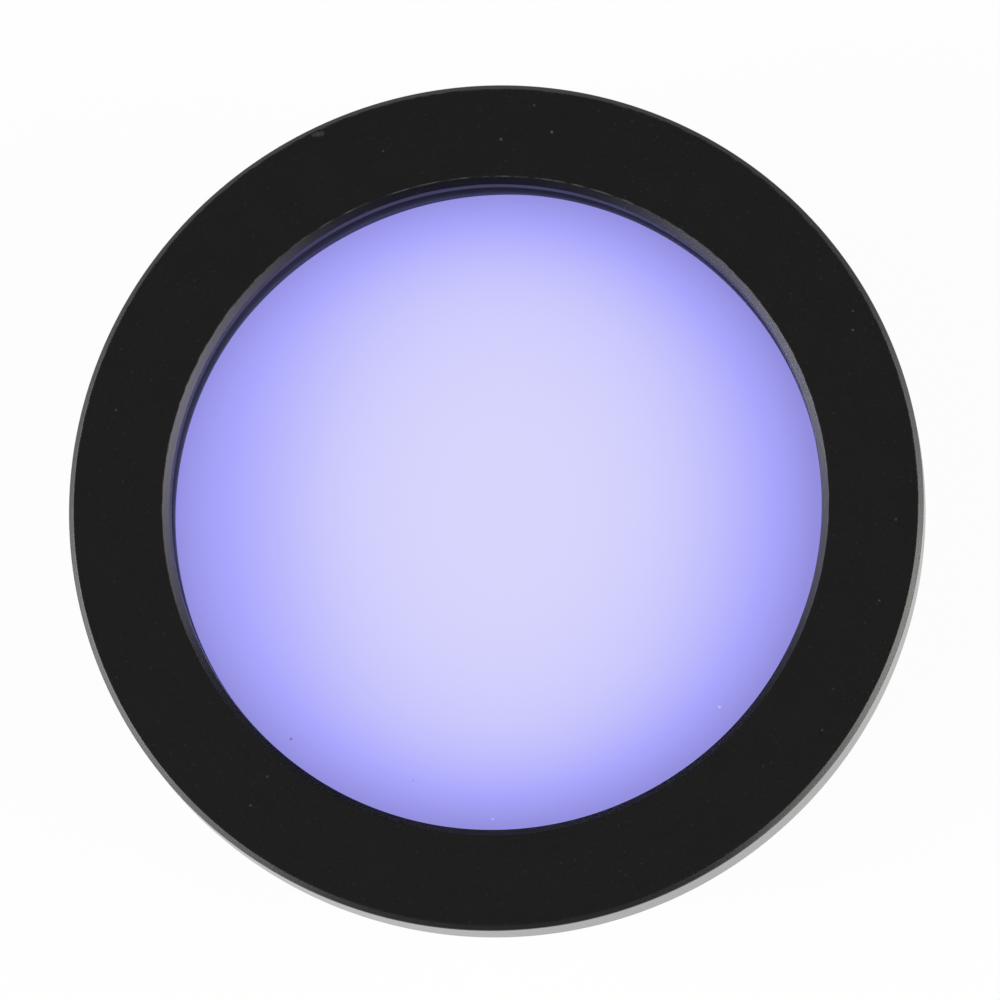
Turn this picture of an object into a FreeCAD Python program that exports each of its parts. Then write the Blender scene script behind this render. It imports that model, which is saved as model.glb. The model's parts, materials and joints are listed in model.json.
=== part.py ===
"""Colour filter for a telescope eyepiece: a turned cell, a glass disc and the ring that holds it.

Millimetres. The optical axis is Z, the front face looks up (+Z), and the filter stands on the end of
its threaded collar, with the origin at the centre of that end. Both threads are drawn as plain cylinders.
"""
import FreeCAD, Part
import os

# Diameters, from the standard eyepiece thread outwards and inwards
thread_d = 28.5             # crest of the male thread that screws into an eyepiece
shoulder = 1.25             # flange beyond the thread crest
collar_wall = 1.25          # thread crest to glass seat
glass_clearance = 0.1       # round the edge of the glass
lip_overlap = 1.1           # lip over the edge of the glass
retainer_step = 0.2         # retainer thread beyond the glass seat
retainer_clearance = 0.05   # between the retaining ring and the collar
retainer_setback = 0.5      # retaining ring's bore beyond the lip's

# Lengths along the optical axis, from the front face backwards
flange_t = 2.35
lip_depth = 2.0             # front face to glass
glass_t = 1.8
retainer_t = 1.3
retainer_recess = 0.9       # retaining ring inside the end of the collar
retainer_run = 0.3          # retainer thread past the back of the glass

# Edges and small cuts
flange_edge = 0.19          # chamfer on both rims of the flange
lip_bevel = 0.28            # bevel round the aperture
collar_lead = 0.35          # thread lead-in at the end of the collar
bore_lead = 0.2             # lead-in for the retaining ring
relief_width = 0.6          # thread relief under the flange
relief_depth = 0.4
glass_arris = 0.15
retainer_edge = 0.12
slot_width = 1.2            # slots for a pin spanner
slot_depth = 0.6
slot_count = 2

# Radii that follow
thread_r = thread_d / 2
flange_r = thread_r + shoulder
relief_r = thread_r - relief_depth
seat_r = thread_r - collar_wall
glass_r = seat_r - glass_clearance
lip_r = glass_r - lip_overlap
retainer_bore_r = seat_r + retainer_step
retainer_r = retainer_bore_r - retainer_clearance
retainer_inner_r = lip_r + retainer_setback

# Heights that follow, up from the end of the collar
retainer_z = retainer_recess
glass_z = retainer_z + retainer_t
seat_z = glass_z + glass_t
front_z = seat_z + lip_depth
flange_z = front_z - flange_t
step_z = glass_z + retainer_run


def turned(*profile):
    """Solid of revolution about Z from the corners (radius, height) of half its section."""
    corners = [FreeCAD.Vector(radius, 0, height) for radius, height in profile]
    section = Part.Face(Part.makePolygon(corners + corners[:1]))
    return section.revolve(FreeCAD.Vector(0, 0, 0), FreeCAD.Vector(0, 0, 1), 360)


def make_filter_cell():
    """Flange, lip, glass seat and threaded collar, turned in one piece."""
    return turned(
        # Front face and the rim of the flange
        (lip_r + lip_bevel, front_z),
        (flange_r - flange_edge, front_z),
        (flange_r, front_z - flange_edge),
        (flange_r, flange_z + flange_edge),
        (flange_r - flange_edge, flange_z),
        # Thread relief, thread and its lead-in
        (relief_r, flange_z),
        (relief_r, flange_z - relief_width),
        (thread_r, flange_z - relief_width),
        (thread_r, collar_lead),
        (thread_r - collar_lead, 0),
        # Bore for the retaining ring, glass seat and lip
        (retainer_bore_r + bore_lead, 0),
        (retainer_bore_r, bore_lead),
        (retainer_bore_r, step_z),
        (seat_r, step_z),
        (seat_r, seat_z),
        (lip_r, seat_z),
        (lip_r, front_z - lip_bevel),
    )


def make_filter_glass():
    """Plane-parallel disc with a ground arris on both edges."""
    return turned(
        (0, glass_z),
        (glass_r - glass_arris, glass_z),
        (glass_r, glass_z + glass_arris),
        (glass_r, seat_z - glass_arris),
        (glass_r - glass_arris, seat_z),
        (0, seat_z),
    )


def make_retaining_ring():
    """Threaded ring behind the glass, with spanner slots across its back."""
    ring = turned(
        (retainer_inner_r, glass_z),
        (retainer_inner_r, retainer_z + retainer_edge),
        (retainer_inner_r + retainer_edge, retainer_z),
        (retainer_r - retainer_edge, retainer_z),
        (retainer_r, retainer_z + retainer_edge),
        (retainer_r, glass_z - retainer_edge),
        (retainer_r - retainer_edge, glass_z),
    )
    for index in range(slot_count):
        slot = Part.makeBox(retainer_r, slot_width, slot_depth)
        slot.translate(FreeCAD.Vector(0, -slot_width / 2, retainer_z))
        slot.rotate(FreeCAD.Vector(0, 0, 0), FreeCAD.Vector(0, 0, 1), 360 * index / slot_count)
        ring = ring.cut(slot)
    return ring


pieces = {
    "filter_cell": make_filter_cell(),
    "filter_glass": make_filter_glass(),
    "retaining_ring": make_retaining_ring(),
}
os.makedirs("parts", exist_ok=True)
for name, shape in pieces.items():
    shape.exportStep(f"parts/{name}.step")
    print(name, shape.ShapeType, shape.isValid(), round(shape.Volume, 3), shape.BoundBox)
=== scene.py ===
"""Looks of a colour filter for a telescope eyepiece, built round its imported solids.

A black anodised cell with a helical eyepiece thread, a lavender glass disc, and the slotted ring behind it.
Sizes of the part are written in millimetres and turn into metres where a mesh or a texture is made.
Lamps, table and surroundings are in metres, and colours are linear.
"""
import json
import math
from typing import NamedTuple

import bmesh
import bpy
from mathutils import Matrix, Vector


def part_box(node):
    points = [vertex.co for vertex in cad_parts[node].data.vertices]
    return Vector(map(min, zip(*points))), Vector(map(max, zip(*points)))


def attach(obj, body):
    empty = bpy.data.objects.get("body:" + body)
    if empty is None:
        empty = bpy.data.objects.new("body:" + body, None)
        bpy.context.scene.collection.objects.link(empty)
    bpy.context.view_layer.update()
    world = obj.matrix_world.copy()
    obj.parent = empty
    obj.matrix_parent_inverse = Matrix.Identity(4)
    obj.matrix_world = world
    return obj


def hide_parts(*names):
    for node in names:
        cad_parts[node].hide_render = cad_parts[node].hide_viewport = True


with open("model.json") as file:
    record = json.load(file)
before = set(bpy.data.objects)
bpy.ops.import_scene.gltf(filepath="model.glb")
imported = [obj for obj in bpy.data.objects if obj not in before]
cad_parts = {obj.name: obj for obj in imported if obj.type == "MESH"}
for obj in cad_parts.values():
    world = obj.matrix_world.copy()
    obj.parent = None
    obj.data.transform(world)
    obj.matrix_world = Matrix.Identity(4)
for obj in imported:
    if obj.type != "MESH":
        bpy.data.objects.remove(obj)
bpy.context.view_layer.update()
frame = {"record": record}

MM = 0.001

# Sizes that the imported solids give; the ring is measured along Y, because its slots lie along X
cell_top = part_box("filter_cell")[1] / MM
glass_bottom, glass_top = (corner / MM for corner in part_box("filter_glass"))
ring_bottom, ring_top = (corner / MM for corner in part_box("retaining_ring"))
mounts = {mount["name"]: mount for mount in frame["record"]["mounts"]}
FLANGE_R = cell_top.x
FRONT_Z = cell_top.z
GLASS_R = glass_top.x
GLASS_Z = glass_bottom.z
SEAT_Z = glass_top.z
RING_R = ring_top.y
RING_Z = ring_bottom.z
THREAD_R = mounts["eyepiece_thread"]["dims"]["r_mm"]

# Sizes of the cell
FLANGE_T = 2.35
FLANGE_EDGE = 0.19
LIP_OVERLAP = 1.1           # lip over the edge of the glass
LIP_BEVEL = 0.28
GLASS_CLEARANCE = 0.1
RELIEF_DEPTH = 0.4
RELIEF_WIDTH = 0.6
COLLAR_LEAD = 0.35
RETAINER_STEP = 0.2         # bore for the ring beyond the glass seat
RETAINER_RUN = 0.3          # that bore past the back of the glass
BORE_LEAD = 0.2
LIP_R = GLASS_R - LIP_OVERLAP
SEAT_R = GLASS_R + GLASS_CLEARANCE
RELIEF_R = THREAD_R - RELIEF_DEPTH
BORE_R = SEAT_R + RETAINER_STEP
STEP_Z = GLASS_Z + RETAINER_RUN

# Sizes of the glass and of the ring behind it
GLASS_ARRIS = 0.15
SEATING_GAP = 0.01          # between the glass and the faces that hold it
RETAINER_SETBACK = 0.5      # ring's bore beyond the lip's
RING_EDGE = 0.12
RING_FLAT_END = 0.36        # from the ring's outside to the last row of its flat back
RING_INNER_R = LIP_R + RETAINER_SETBACK
SLOT_WIDTH = 1.2
SLOT_DEPTH = 0.6
SLOT_FLARE = 0.08
SLOT_OVERCUT = 1            # by which the cutter of a slot reaches past the ring

# Threads: share of the pitch at which each line of the 60 degree form lies, from the start of a crest
EYEPIECE_PITCH = 0.6
RING_PITCH = 0.5
THREAD_DEPTH = 0.5413       # of the pitch
CREST_END, ROOT_START, ROOT_END = 0.125, 0.4375, 0.6875
MID_FALL, MID_RISE = 0.28, 0.84
THREAD_LINES = (0.0, CREST_END, MID_FALL, ROOT_START, ROOT_END, MID_RISE)

# Rounding of the edges, and how fine the turned meshes are
BREAK = 0.035               # edges that are only deburred
KEEN = 0.012                # the bevel's lower edge
MOUTH_GLINT_BAND = 0.35           # band at the mouth of the bore, shinier than the bore below; its lighter violet colour is a painted highlight, the light of the glass reflected there
MOUTH_EASE = 0.03           # by which that band opens
HOLD = 0.012                # from a rounded edge to the row that keeps the face beside it flat
COLUMNS = 256
ROUND_STEPS = 4
SHARP_ANGLE = math.radians(40)
WELD = 0.0001 * MM

# How worn the edges are, from 0 to 1
RIM_WEAR = 0.5
BEVEL_WEAR = 1.0
MOUTH_WEAR = 0.15

# Numbers of the skins on the turned pieces
OUTSIDE, EDGE, WALL, BEVEL, MOUTH, BORE = range(6)
POLISHED, GROUND = range(2)


class Row:
    """One line round a turned mesh, with the wear on it and the skin of the band that follows it.

    Its last column is joined to the first one of the row called wrap, which on a helix is a turn further on.
    """

    def __init__(self, at, wear=0.0, skin=OUTSIDE):
        self.at = at
        self.wear = wear
        self.skin = skin
        self.wrap = self


def circle(radius, height, wear=0.0, skin=OUTSIDE):
    """Row that stays at one radius and height."""
    return Row(lambda share: (radius, height), wear, skin)


class Corner(NamedTuple):
    """Corner of a section, rounded over a length before and after it, and the skin that follows it."""

    radius: float
    height: float
    before: float = 0.0
    after: float = 0.0
    wear: float = 0.0
    skin: int = OUTSIDE

    def point(self):
        """Radius and height of the sharp corner."""
        return Vector((self.radius, self.height))


def section(*corners):
    """Rows along an open section, with its inner corners rounded."""
    rows = []
    for index, corner in enumerate(corners):
        if corner.before == 0:
            rows.append(circle(corner.radius, corner.height, corner.wear, corner.skin))
            continue
        previous = corners[index - 1]
        middle = corner.point()
        back = (previous.point() - middle).normalized()
        ahead = (corners[index + 1].point() - middle).normalized()
        rows.append(circle(*(middle + back * (corner.before + HOLD)), skin=previous.skin))
        for step in range(ROUND_STEPS + 1):
            share = step / ROUND_STEPS
            place = middle + back * corner.before * (1 - share) ** 2 + ahead * corner.after * share ** 2
            rows.append(circle(*place, corner.wear * math.sin(math.pi * share), corner.skin))
        rows.append(circle(*(middle + ahead * (corner.after + HOLD)), skin=corner.skin))
    return rows


def thread_form(phase):
    """Height of a thread over its root, from 0 to 1, at a share of its pitch."""
    if phase < CREST_END:
        return 1.0
    if phase < ROOT_START:
        return (ROOT_START - phase) / (ROOT_START - CREST_END)
    if phase < ROOT_END:
        return 0.0
    return (phase - ROOT_END) / (1 - ROOT_END)


def thread(low, high, pitch, radius_at, crest_wear=0.0):
    """Rows of a right-handed helix from height low to high, with radius_at(form, height)."""
    first = math.floor(low / pitch) - 1
    last = math.ceil(high / pitch) + 1
    rows = []
    for turn in range(first, last):
        for line in THREAD_LINES:

            def at(share, start=turn + line):
                height = min(max(pitch * (start + share), low), high)
                phase = (height / pitch - share) % 1.0
                return radius_at(thread_form(phase), height), height

            rows.append(Row(at, crest_wear if line <= CREST_END else 0.0))
    for index, row in enumerate(rows):
        row.wrap = rows[min(index + len(THREAD_LINES), len(rows) - 1)]
    return rows


def add_object(name, data):
    """New object with a mesh, lamp or camera, linked into the scene."""
    thing = bpy.data.objects.new(name, data)
    bpy.context.scene.collection.objects.link(thing)
    return thing


def mesh_from(name, bm):
    """Mesh with the faces of bm, turned outwards."""
    bmesh.ops.recalc_face_normals(bm, faces=bm.faces)
    mesh = bpy.data.meshes.new(name)
    bm.to_mesh(mesh)
    bm.free()
    return mesh


def turned(name, rows, skins, closed=True):
    """Object made by turning the rows about Z, with a material for each skin number."""
    bm = bmesh.new()
    wear = bm.verts.layers.float.new("wear")
    lines = {}
    for row in rows:
        line = []
        for column in range(COLUMNS):
            share = column / COLUMNS
            angle = 2 * math.pi * share
            radius, height = row.at(share)
            place = Vector((radius * math.cos(angle), radius * math.sin(angle), height)) * MM
            vert = bm.verts.new(place)
            vert[wear] = row.wear
            line.append(vert)
        lines[row] = line
    bands = list(zip(rows, rows[1:]))
    if closed:
        bands.append((rows[-1], rows[0]))
    for row, after in bands:
        ends = zip(lines[row], lines[row][1:] + lines[row.wrap][:1])
        after_ends = zip(lines[after], lines[after][1:] + lines[after.wrap][:1])
        for (a, b), (d, c) in zip(ends, after_ends):
            corners = list(dict.fromkeys((a, d, c, b)))
            if len(corners) < 3:
                continue
            face = bm.faces.new(corners)
            face.material_index = row.skin
            face.smooth = True
    bmesh.ops.remove_doubles(bm, verts=bm.verts, dist=WELD)
    mesh = mesh_from(name, bm)
    for skin in skins:
        mesh.materials.append(skin)
    return add_object(name, mesh)


def crisp(piece):
    """Keeps flat faces flat and small rounds smooth."""
    piece.data.set_sharp_from_angle(angle=SHARP_ANGLE)
    modifier = piece.modifiers.new("flat faces", "WEIGHTED_NORMAL")
    modifier.keep_sharp = True
    return piece


# Sockets of the Mix node when it mixes colours
MIX_FACTOR, MIX_FIRST, MIX_SECOND = 0, 6, 7
MIX_RESULT = 2

# Shared by the materials
NOISE_RANGE = (0.3, 0.7)    # in which most of a noise lies
SPECK_CORE = 0.4            # solid middle of a speck, as a share of its radius
BUMP_HEIGHT = 0.02          # of a fine relief


class Graph:
    """Short way to add shader nodes and wire them."""

    def __init__(self, owner):
        owner.use_nodes = True
        self.nodes = owner.node_tree.nodes
        self.links = owner.node_tree.links
        self.nodes.clear()

    def feed(self, socket, value):
        """Wires another node's output to a socket, or sets a plain value on it."""
        if isinstance(value, bpy.types.NodeSocket):
            self.links.new(value, socket)
        else:
            socket.default_value = value

    def add(self, kind, inputs=None, **settings):
        """Node of a kind, with its settings and its inputs by name or number."""
        node = self.nodes.new("ShaderNode" + kind)
        for name, value in settings.items():
            setattr(node, name, value)
        for name, value in (inputs or {}).items():
            self.feed(node.inputs[name], value)
        return node

    def math(self, operation, *values):
        """Number from an operation on numbers."""
        return self.add("Math", dict(enumerate(values)), operation=operation).outputs[0]

    def vector(self, operation, *values):
        """Vector from an operation on vectors."""
        return self.add("VectorMath", dict(enumerate(values)), operation=operation).outputs["Vector"]

    def measure(self, operation, *values):
        """Number from an operation on vectors."""
        return self.add("VectorMath", dict(enumerate(values)), operation=operation).outputs["Value"]

    def span(self, value, low, high, to_low=0.0, to_high=1.0):
        """Smooth step of a value from one range to another."""
        ends = {"Value": value, "From Min": low, "From Max": high, "To Min": to_low, "To Max": to_high}
        return self.add("MapRange", ends, interpolation_type="SMOOTHSTEP").outputs["Result"]

    def noise(self, vector, size, detail=2.0):
        """Noise with features of about that size in millimetres."""
        settings = {"Vector": vector, "Scale": 1 / (size * MM), "Detail": detail}
        return self.add("TexNoise", settings).outputs["Fac"]

    def mix(self, factor, first, second):
        """Colour between two others."""
        inputs = {MIX_FACTOR: factor, MIX_FIRST: first, MIX_SECOND: second}
        return self.add("Mix", inputs, data_type="RGBA").outputs[MIX_RESULT]

    def specks(self, vector, places, height):
        """Mask of round specks at one height, each x, y, radius and strength."""
        mask = 0.0
        for x, y, radius, strength in places:
            apart = self.measure("DISTANCE", vector, Vector((x, y, height)) * MM)
            spot = self.span(apart, radius * MM, SPECK_CORE * radius * MM, 0.0, strength)
            mask = self.math("MAXIMUM", mask, spot)
        return mask

    def bump(self, height, strength):
        """Normal of a surface with a fine relief."""
        inputs = {"Height": height, "Strength": strength, "Distance": BUMP_HEIGHT * MM}
        return self.add("Bump", inputs).outputs["Normal"]

    def surface(self, shader):
        """Makes a shader the surface of the material."""
        self.add("OutputMaterial", {"Surface": shader.outputs[0]})


def grey(level):
    """Neutral colour at a linear level."""
    return (level, level, level, 1.0)


# Dust on the front face, and at the end a scuff by its rim: x, y, radius and strength
FACE_DUST = (
    (2.0, 13.7, 0.07, 1.0),
    (0.15, 13.45, 0.07, 0.8),
    (12.95, 6.3, 0.06, 0.8),
    (12.95, 7.0, 0.06, 0.5),
    (13.9, -3.6, 0.06, 0.6),
    (14.5, -0.65, 0.06, 0.5),
    (11.85, -8.3, 0.06, 0.5),
    (-8.75, -10.95, 0.06, 0.6),
    (-8.15, -9.9, 0.06, 0.5),
    (-13.8, 3.55, 0.06, 0.5),
    (-4.15, 13.05, 0.06, 0.5),
    (1.35, 14.7, 0.06, 0.5),
    (-6.68, 13.69, 0.13, 0.4),
    (-6.54, 13.7, 0.14, 0.5),
    (-6.4, 13.72, 0.13, 0.4),
)
DUST_LEVEL = 0.07
LINT_SIZE = 0.14            # faint dust all over
LINT_RANGE = (0.66, 0.76)   # of its noise
LINT_STRENGTH = 0.2

# Wear on the edges, which shows on the far side of the part
WORN_LEVEL = 0.07
WORN_Y = (-5.0, 3.0)        # where it starts and where it is full
CHIP_SIZE = 0.5
CHIP_RANGE = (0.4, 0.68)

# Texture of the anodised metal: sizes of its noises, and how far they change its level or roughness
GRAIN_SIZE = 0.09
GRAIN_RANGE = (0.25, 0.75)
GRAIN_CHANGE = (0.85, 1.15)
MOTTLE_SIZE = 1.4
MOTTLE_CHANGE = (0.94, 1.06)
TURNING_SIZE = 0.11
TURNING_RISE = 0.6          # turning lines up a wall for each one across a face
GLOSS_CHANGE = 0.02
METAL_BUMP = 0.15
BORE_SHEEN = 1.4            # height over the glass in which the bore turns dull

# Colours of the anodised metal: the lip's violet colour and reflections are painted light, the glow of the
# lavender glass on it
PLAIN = (1.0, 1.0, 1.0)
LIP_PAINTED_GLOW = {"tint": (1.0, 1.0, 2.0), "gloss_tint": (0.75, 0.75, 1.0)}


class Finish(NamedTuple):
    """One anodised surface: its level, its gloss, the depth of its turning lines and the dust on it.

    A surface with a deep_roughness has that roughness beside the glass.
    """

    name: str
    level: float
    specular: float
    roughness: float = 0.39
    deep_roughness: float | None = None
    lines: float = 0.7
    # tint and gloss_tint carry the painted glow of the glass on the lip; elsewhere they are plain
    tint: tuple = PLAIN
    gloss_tint: tuple = PLAIN
    dust: tuple = ()


# Finishes of the cell, in the order of its skins
CELL_FINISHES = (
    Finish("black anodised", level=0.0064, specular=0.28, dust=FACE_DUST),
    Finish("black anodised edge", level=0.0058, specular=0.34),
    Finish("black anodised rim", level=0.007, specular=0.8, roughness=0.2, lines=0.3),
    Finish("black anodised bevel", level=0.0052, specular=0.3, **LIP_PAINTED_GLOW),
    # the mouth's lighter violet colour is a painted highlight of the glass's light
    Finish("black anodised mouth", level=0.018, specular=0.12, **LIP_PAINTED_GLOW),
    # the bore's lighter violet colour is painted glow from the glass
    Finish(
        "black anodised bore",
        level=0.0145,
        specular=0.04,
        roughness=1.0,
        deep_roughness=0.3,
        lines=0.4,
        **LIP_PAINTED_GLOW,
    ),
)


def turning_lines(graph, axes):
    """Noise that changes with the radius and the height only, as lines left by a lathe tool do."""
    flat = graph.add("CombineXYZ", {"X": axes["X"], "Y": axes["Y"]}).outputs[0]
    radius = graph.measure("LENGTH", flat)
    along = graph.math("MULTIPLY_ADD", axes["Z"], TURNING_RISE, radius)
    groove = graph.add("CombineXYZ", {"X": along}).outputs[0]
    return graph.noise(groove, TURNING_SIZE, detail=3.0)


def worn_edges(graph, place, axes):
    """Mask of the places where the edges are rubbed."""
    wear = graph.add("Attribute", attribute_name="wear").outputs["Fac"]
    chips = graph.span(graph.noise(place, CHIP_SIZE, detail=4.0), *CHIP_RANGE)
    start, full = WORN_Y
    worn_side = graph.span(axes["Y"], start * MM, full * MM)
    return graph.math("MULTIPLY", graph.math("MULTIPLY", wear, chips), worn_side)


def anodised(finish):
    """Black anodised aluminium: fine grain, turning lines, faint mottling, worn edges and dust."""
    material = bpy.data.materials.new(finish.name)
    graph = Graph(material)
    place = graph.add("TexCoord").outputs["Object"]
    axes = graph.add("SeparateXYZ", {"Vector": place}).outputs
    grain = graph.noise(place, GRAIN_SIZE, detail=3.0)
    mottle = graph.noise(place, MOTTLE_SIZE, detail=4.0)
    turning = turning_lines(graph, axes)

    shades = (change * finish.level for change in MOTTLE_CHANGE)
    shade = graph.span(mottle, *NOISE_RANGE, *shades)
    speckled = graph.math("MULTIPLY", shade, graph.span(grain, *GRAIN_RANGE, *GRAIN_CHANGE))
    # the tint paints the glow of the lavender glass onto the lip; it is plain elsewhere
    black = graph.vector("MULTIPLY", speckled, finish.tint)
    rubbed = graph.mix(worn_edges(graph, place, axes), black, grey(WORN_LEVEL))
    lint = graph.span(graph.noise(place, LINT_SIZE), *LINT_RANGE, 0.0, LINT_STRENGTH)
    dusty = graph.math("MAXIMUM", lint, graph.specks(place, finish.dust, FRONT_Z))

    roughest = finish.roughness + GLOSS_CHANGE
    gloss = graph.span(turning, *NOISE_RANGE, finish.roughness - GLOSS_CHANGE, roughest)
    if finish.deep_roughness is not None:
        dull_z = SEAT_Z + BORE_SHEEN
        smoother = finish.deep_roughness - finish.roughness
        gloss = graph.math("ADD", gloss, graph.span(axes["Z"], dull_z * MM, SEAT_Z * MM, 0.0, smoother))
    relief = graph.math("MULTIPLY_ADD", turning, finish.lines, grain)
    sockets = {
        "Base Color": graph.mix(dusty, rubbed, grey(DUST_LEVEL)),
        "Roughness": gloss,
        "Specular IOR Level": finish.specular,
        "Specular Tint": (*finish.gloss_tint, 1.0),
        "Normal": graph.bump(relief, METAL_BUMP),
    }
    graph.surface(graph.add("BsdfPrincipled", sockets))
    return material


# Colour of the whole pane, from the pale middle to the rim, against the share of the radius to a power: the
# lavender is the glass's own tint, the paler middle is painted light and the deeper violet rim is painted
# shade, the cell's shadow on the table beneath seen through the glass
GLASS_TINT_AND_SHADE = (
    (0.0, (0.692, 0.678, 1.0)),
    (0.66, (0.40, 0.387, 1.0)),
    (1.0, (0.291, 0.274, 0.74)),
)
TINT_AND_SHADE_POWER = 3.1
PALE_STRETCH = (1.1, 0.87, 0.0)     # the painted light of the pale middle is longer up and down
PALE_CENTRE = (0.13, 0.42)
RIM_STRETCH = (1.0, 1.0, 0.0)
RIM_CENTRE = (-0.24, 0.32)
RIM_START = 0.58                    # share of the radius where the painted shade starts to follow the round rim
COATED_IOR = 1.25                   # coated glass reflects about one percent
DARK_SPECKS = ((-7.5, -8.25, 0.07, 1.0), (-3.05, -9.8, 0.06, 0.4))
PALE_SPECKS = ((8.05, -7.15, 0.07, 0.6), (-0.15, -11.2, 0.06, 0.5))
DARK_LEVEL, PALE_LEVEL = 0.1, 1.0


def lavender_glass():
    """Polished lavender glass, with a painted pale middle of light and painted shade that turns it violet at
    the rim.
    """
    material = bpy.data.materials.new("lavender glass")
    graph = Graph(material)
    place = graph.add("TexCoord").outputs["Object"]

    def share_from(centre, stretch):
        """Distance from a centre on the pane, as a share of its clear radius."""
        moved = graph.vector("SUBTRACT", place, Vector((*centre, 0.0)) * MM)
        apart = graph.measure("LENGTH", graph.vector("MULTIPLY", moved, stretch))
        return graph.math("DIVIDE", apart, LIP_R * MM)

    oval = share_from(PALE_CENTRE, PALE_STRETCH)
    ring = share_from(RIM_CENTRE, RIM_STRETCH)
    rim = graph.span(ring, RIM_START, 1.0)
    share = graph.math("MULTIPLY_ADD", graph.math("SUBTRACT", ring, oval), rim, oval)
    # the ramp paints light into the pale middle and the cell's shadow on the table into the violet rim
    ramp = graph.add("ValToRGB", {"Fac": graph.math("POWER", share, TINT_AND_SHADE_POWER)})
    stops = ramp.color_ramp.elements
    while len(stops) < len(GLASS_TINT_AND_SHADE):
        stops.new(1.0)
    for stop, (position, tint) in zip(stops, GLASS_TINT_AND_SHADE):
        stop.position = position
        stop.color = (*tint, 1.0)
    pale = graph.mix(graph.specks(place, PALE_SPECKS, SEAT_Z), ramp.outputs[0], grey(PALE_LEVEL))
    sockets = {
        "Base Color": graph.mix(graph.specks(place, DARK_SPECKS, SEAT_Z), pale, grey(DARK_LEVEL)),
        "Roughness": 0.0,
        "IOR": COATED_IOR,
        "Transmission Weight": 1.0,
    }
    graph.surface(graph.add("BsdfPrincipled", sockets))
    return material


# Ground edge of the glass
FROST_SIZE = 0.06
FROST_DARK = (0.3, 0.29, 0.6, 1.0)
FROST_PALE = (0.45, 0.43, 0.75, 1.0)
FROST_ROUGHNESS = (0.5, 0.7)
FROST_BUMP = 0.4
FROST_CLEAR = 0.5           # share of the light that goes in
BARE_IOR = 1.52


def ground_glass():
    """Frosted edge of the disc."""
    material = bpy.data.materials.new("ground glass edge")
    graph = Graph(material)
    place = graph.add("TexCoord").outputs["Object"]
    frost = graph.noise(place, FROST_SIZE)
    sockets = {
        "Base Color": graph.mix(frost, FROST_DARK, FROST_PALE),
        "Roughness": graph.span(frost, *NOISE_RANGE, *FROST_ROUGHNESS),
        "Transmission Weight": FROST_CLEAR,
        "IOR": BARE_IOR,
        "Normal": graph.bump(frost, FROST_BUMP),
    }
    graph.surface(graph.add("BsdfPrincipled", sockets))
    return material


def make_cell(skins):
    """Turned cell: flange, bevelled lip, glass seat, thread relief and threaded collar."""
    flange_z = FRONT_Z - FLANGE_T
    relief_z = flange_z - RELIEF_WIDTH
    mouth_z = FRONT_Z - LIP_BEVEL
    seat_z = SEAT_Z + SEATING_GAP
    depth = THREAD_DEPTH * EYEPIECE_PITCH
    inner_depth = THREAD_DEPTH * RING_PITCH

    def eyepiece(form, height):
        """Radius of the thread on the collar, cut by its lead-in."""
        return min(THREAD_R - depth * (1 - form), THREAD_R - COLLAR_LEAD + height)

    def retainer(form, height):
        """Radius of the thread for the ring, cut by its lead-in."""
        return max(BORE_R - inner_depth * form, BORE_R + BORE_LEAD - height)

    middle = Corner((LIP_R + FLANGE_R) / 2, FRONT_Z)
    front = section(
        middle,
        Corner(FLANGE_R - FLANGE_EDGE, FRONT_Z, BREAK, BREAK, RIM_WEAR, EDGE),
        Corner(FLANGE_R, FRONT_Z - FLANGE_EDGE, BREAK, BREAK, RIM_WEAR, WALL),
        Corner(FLANGE_R, flange_z + FLANGE_EDGE, BREAK, BREAK, RIM_WEAR, EDGE),
        Corner(FLANGE_R - FLANGE_EDGE, flange_z, BREAK, BREAK, RIM_WEAR),
        Corner(RELIEF_R, flange_z, BREAK, BREAK),
        Corner(RELIEF_R, relief_z),
    )
    collar = thread(0, relief_z, EYEPIECE_PITCH, eyepiece, crest_wear=RIM_WEAR)
    back_thread = thread(0, STEP_Z, RING_PITCH, retainer)
    lip = section(
        Corner(SEAT_R, STEP_Z, skin=BORE),
        Corner(SEAT_R, seat_z, skin=BORE),
        Corner(LIP_R, seat_z, BREAK, BREAK, skin=BORE),
        Corner(LIP_R, mouth_z - MOUTH_GLINT_BAND, skin=MOUTH),
        Corner(LIP_R + MOUTH_EASE, mouth_z + MOUTH_EASE, KEEN, KEEN, MOUTH_WEAR, BEVEL),
        Corner(LIP_R + LIP_BEVEL, FRONT_Z, BREAK, BREAK, BEVEL_WEAR),
        middle,
    )
    rows = front + collar[::-1] + back_thread + lip[:-1]
    return crisp(turned("cell_turned", rows, skins))


def make_glass(polished, ground):
    """Plane-parallel disc with a ground edge."""
    rows = section(
        Corner(0, GLASS_Z, skin=POLISHED),
        Corner(GLASS_R - GLASS_ARRIS, GLASS_Z, skin=GROUND),
        Corner(GLASS_R, GLASS_Z + GLASS_ARRIS, skin=GROUND),
        Corner(GLASS_R, SEAT_Z - GLASS_ARRIS, skin=GROUND),
        Corner(GLASS_R - GLASS_ARRIS, SEAT_Z, skin=POLISHED),
        Corner(0, SEAT_Z, skin=POLISHED),
    )
    return crisp(turned("glass_disc", rows, (polished, ground), closed=False))


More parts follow.
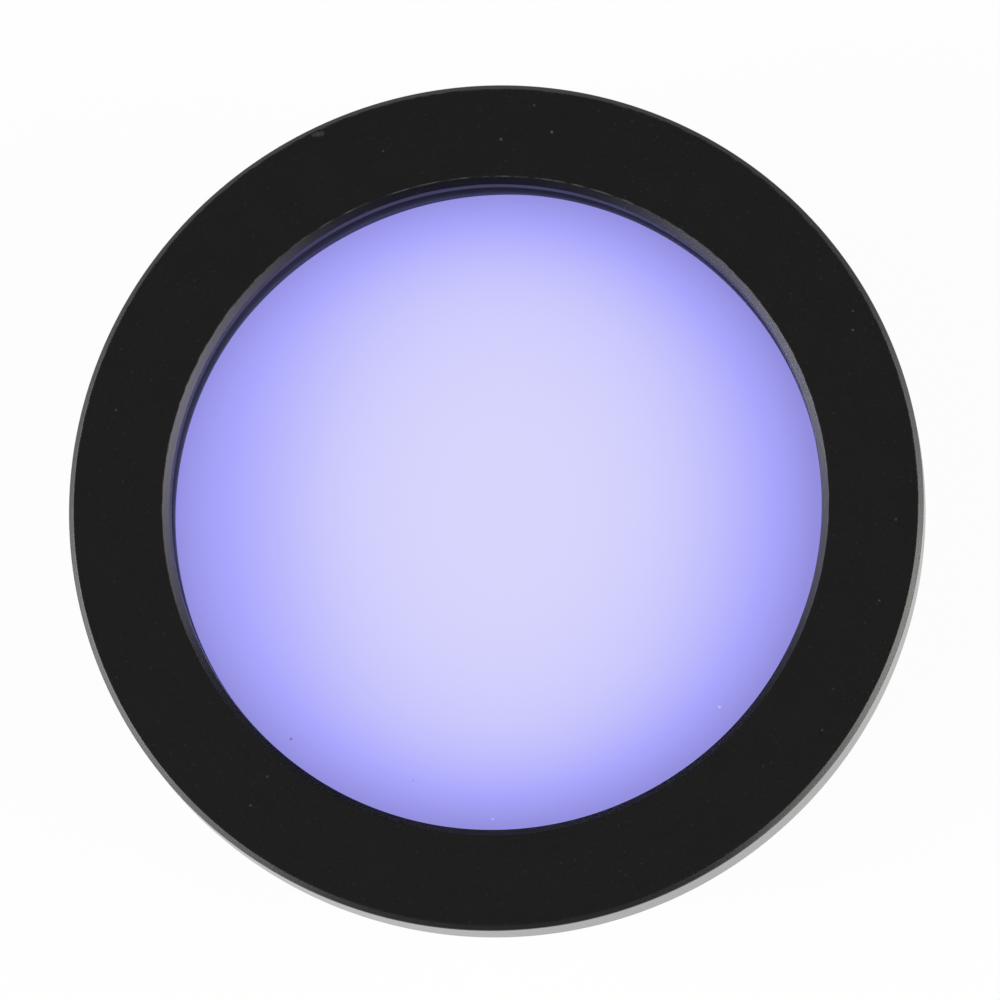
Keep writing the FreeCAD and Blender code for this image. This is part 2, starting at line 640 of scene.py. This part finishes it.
def make_retainer(outside):
    """Threaded ring behind the glass, with two spanner slots across its back."""
    top = GLASS_Z - SEATING_GAP
    depth = THREAD_DEPTH * RING_PITCH

    def ring_thread(form, height):
        """Radius of the thread round the ring, cut by the chamfers at its ends."""
        chamfer = RING_R - RING_EDGE + min(height - RING_Z, top - height)
        return min(RING_R - depth * form, chamfer)

    inner = section(
        Corner(RING_INNER_R, top),
        Corner(RING_INNER_R, RING_Z + RING_EDGE, BREAK, BREAK, RIM_WEAR),
        Corner(RING_INNER_R + RING_EDGE, RING_Z, BREAK, BREAK, RIM_WEAR),
        Corner(RING_R - RING_FLAT_END, RING_Z),
    )
    rows = inner + thread(RING_Z, top, RING_PITCH, ring_thread)
    ring = turned("retainer", rows, (outside,))
    for side in (1, -1):
        cutter = slot_cutter(side)
        cut = ring.modifiers.new("slot", "BOOLEAN")
        cut.solver = "EXACT"
        cut.object = cutter
        bpy.context.view_layer.objects.active = ring
        bpy.ops.object.modifier_apply(modifier=cut.name)
        bpy.data.objects.remove(cutter)
    return crisp(ring)


def slot_cutter(side):
    """Bar across one side of the ring, wider at the mouth of the slot."""
    half = SLOT_WIDTH / 2
    flared = half + SLOT_FLARE + SLOT_OVERCUT
    below = RING_Z - SLOT_OVERCUT
    outline = (
        (-flared, below),
        (flared, below),
        (half, RING_Z + SLOT_FLARE),
        (half, RING_Z + SLOT_DEPTH),
        (-half, RING_Z + SLOT_DEPTH),
        (-half, RING_Z + SLOT_FLARE),
    )
    bm = bmesh.new()
    ends = []
    for x in (RING_INNER_R - SLOT_OVERCUT, RING_R + SLOT_OVERCUT):
        ends.append([bm.verts.new(Vector((side * x, y, z)) * MM) for y, z in outline])
    bm.faces.new(ends[0])
    bm.faces.new(ends[1])
    for index in range(len(outline)):
        after = (index + 1) % len(outline)
        bm.faces.new((ends[0][index], ends[0][after], ends[1][after], ends[1][index]))
    return add_object("slot_cutter", mesh_from("slot cutter", bm))


def place_part(piece, node):
    """Sets a piece in place of the solid that it stands for."""
    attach(piece, "root")
    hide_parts(node)


# White table, a hair under the part
TABLE_SIZE = 4.0
TABLE_DROP = 0.02 * MM
TABLE_SHOWN = 0.95          # share of plain white that hides all but a trace of the shadow
PAPER_LEVEL = 0.95


def make_table():
    """White table that keeps a faint shadow, clear from below."""
    material = bpy.data.materials.new("white table")
    graph = Graph(material)
    rays = graph.add("LightPath").outputs
    shown = graph.math("MAXIMUM", rays["Is Camera Ray"], rays["Is Glossy Ray"])
    white = graph.math("MAXIMUM", graph.math("MULTIPLY", shown, TABLE_SHOWN), rays["Is Transmission Ray"])
    paper = graph.add("BsdfDiffuse", {"Color": grey(PAPER_LEVEL)})
    glow = graph.add("Emission", {"Color": grey(1.0), "Strength": 1.0})
    lit = graph.add("MixShader", {0: white, 1: paper.outputs[0], 2: glow.outputs[0]})
    below = graph.add("NewGeometry").outputs["Backfacing"]
    clear = graph.add("BsdfTransparent")
    graph.surface(graph.add("MixShader", {0: below, 1: lit.outputs[0], 2: clear.outputs[0]}))
    half = TABLE_SIZE / 2
    plan = ((-half, -half), (half, -half), (half, half), (-half, half))
    mesh = bpy.data.meshes.new("table")
    mesh.from_pydata([(x, y, -TABLE_DROP) for x, y in plan], [], [(0, 1, 2, 3)])
    mesh.materials.append(material)
    add_object("table", mesh)


# Surroundings, with heights from 0 at the horizon to 1 overhead
BELT_LEVEL = 0.01
BELT_START = 0.03           # height over which the white below the horizon gives way to the dark belt
CEILING_LEVEL = 0.22
CEILING_RANGE = (0.6, 0.95)
FILL_LEVEL = 0.8
FILL_AZIMUTH = math.radians(95)
FILL_RISE = math.radians(12)
FILL_COSINE = 0.9           # of the angle between the middle of the fill and its edge


def make_world():
    """White below the horizon, a dark belt with a soft fill behind the part, and a dim ceiling."""
    world = bpy.data.worlds.new("studio")
    bpy.context.scene.world = world
    graph = Graph(world)
    way = graph.add("TexCoord").outputs["Generated"]
    height = graph.add("SeparateXYZ", {"Vector": way}).outputs["Z"]
    belt = graph.span(height, 0.0, BELT_START, 1.0, BELT_LEVEL)
    ceiling = graph.span(height, *CEILING_RANGE, 0.0, CEILING_LEVEL)
    flat = math.cos(FILL_RISE)
    middle = (flat * math.cos(FILL_AZIMUTH), flat * math.sin(FILL_AZIMUTH), math.sin(FILL_RISE))
    fill = graph.span(graph.measure("DOT_PRODUCT", way, middle), FILL_COSINE, 1.0, 0.0, FILL_LEVEL)
    level = graph.math("ADD", graph.math("MAXIMUM", belt, fill), ceiling)
    colour = graph.add("CombineColor", {"Red": level, "Green": level, "Blue": level}).outputs[0]
    back = graph.add("Background", {"Color": colour, "Strength": 1.0})
    graph.add("OutputWorld", {"Surface": back.outputs[0]})


# Low softboxes on both sides, each with a brighter middle: azimuth and colour
LAMP_SIDES = {
    "right": (math.radians(352), (0.93, 0.9, 0.86)),
    "left": (math.radians(192), (1.0, 0.99, 1.0)),
}
LAMP_AWAY = 0.32
LAMP_HEIGHT = 0.18
LAMP_WIDE, WIDE_RADIANCE = 0.54, 7.2
LAMP_MIDDLE, MIDDLE_RADIANCE = 0.18, 6.4
MIDDLE_FORWARD = 0.005


def make_softbox(name, azimuth, colour, away, width, radiance):
    """Upright area lamp that stands on the table and faces the part."""
    lamp = bpy.data.lights.new(name, "AREA")
    lamp.shape = "RECTANGLE"
    lamp.size = width
    lamp.size_y = LAMP_HEIGHT
    lamp.energy = radiance * math.pi * width * LAMP_HEIGHT
    lamp.color = colour
    softbox = add_object(name, lamp)
    softbox.location = (away * math.cos(azimuth), away * math.sin(azimuth), LAMP_HEIGHT / 2)
    softbox.rotation_euler = (math.radians(90), 0, azimuth + math.radians(90))
    softbox.visible_camera = False


def make_lamps():
    """Both softboxes."""
    for side, (azimuth, colour) in LAMP_SIDES.items():
        make_softbox("softbox_" + side, azimuth, colour, LAMP_AWAY, LAMP_WIDE, WIDE_RADIANCE)
        forward = LAMP_AWAY - MIDDLE_FORWARD
        make_softbox("middle_" + side, azimuth, colour, forward, LAMP_MIDDLE, MIDDLE_RADIANCE)


# Camera: the tilt of its axis off the filter's, the way it leans, and where the face lies in the frame
TILT = math.radians(10.4)
LEAN = math.radians(294.6)
DISTANCE = 361.36
LENS = 360
SENSOR = 36
NEAR_CLIP = 10 * MM
FRAME_PIXELS = 1000
FACE_CENTRE = (494.57, 504.19)      # pixels from the left and from the top


def make_camera():
    """Long lens above the filter, a little towards the lower right."""
    axis = Vector((math.sin(TILT) * math.cos(LEAN), math.sin(TILT) * math.sin(LEAN), math.cos(TILT)))
    turn = Vector((0, 0, 1)).rotation_difference(axis).to_matrix()
    pixel = SENSOR * DISTANCE / LENS / FRAME_PIXELS
    across = (FRAME_PIXELS / 2 - FACE_CENTRE[0]) * pixel
    up = (FACE_CENTRE[1] - FRAME_PIXELS / 2) * pixel
    place = Vector((0, 0, FRONT_Z)) + axis * DISTANCE + turn.col[0] * across + turn.col[1] * up
    data = bpy.data.cameras.new("camera")
    data.lens = LENS
    data.sensor_width = SENSOR
    data.clip_start = NEAR_CLIP
    camera = add_object("camera", data)
    camera.matrix_world = turn.to_4x4()
    camera.location = place * MM
    bpy.context.scene.camera = camera


bpy.context.scene.view_settings.view_transform = "Standard"
skins = [anodised(finish) for finish in CELL_FINISHES]
place_part(make_cell(skins), "filter_cell")
place_part(make_glass(lavender_glass(), ground_glass()), "filter_glass")
place_part(make_retainer(skins[OUTSIDE]), "retaining_ring")
make_table()
make_world()
make_lamps()
make_camera()
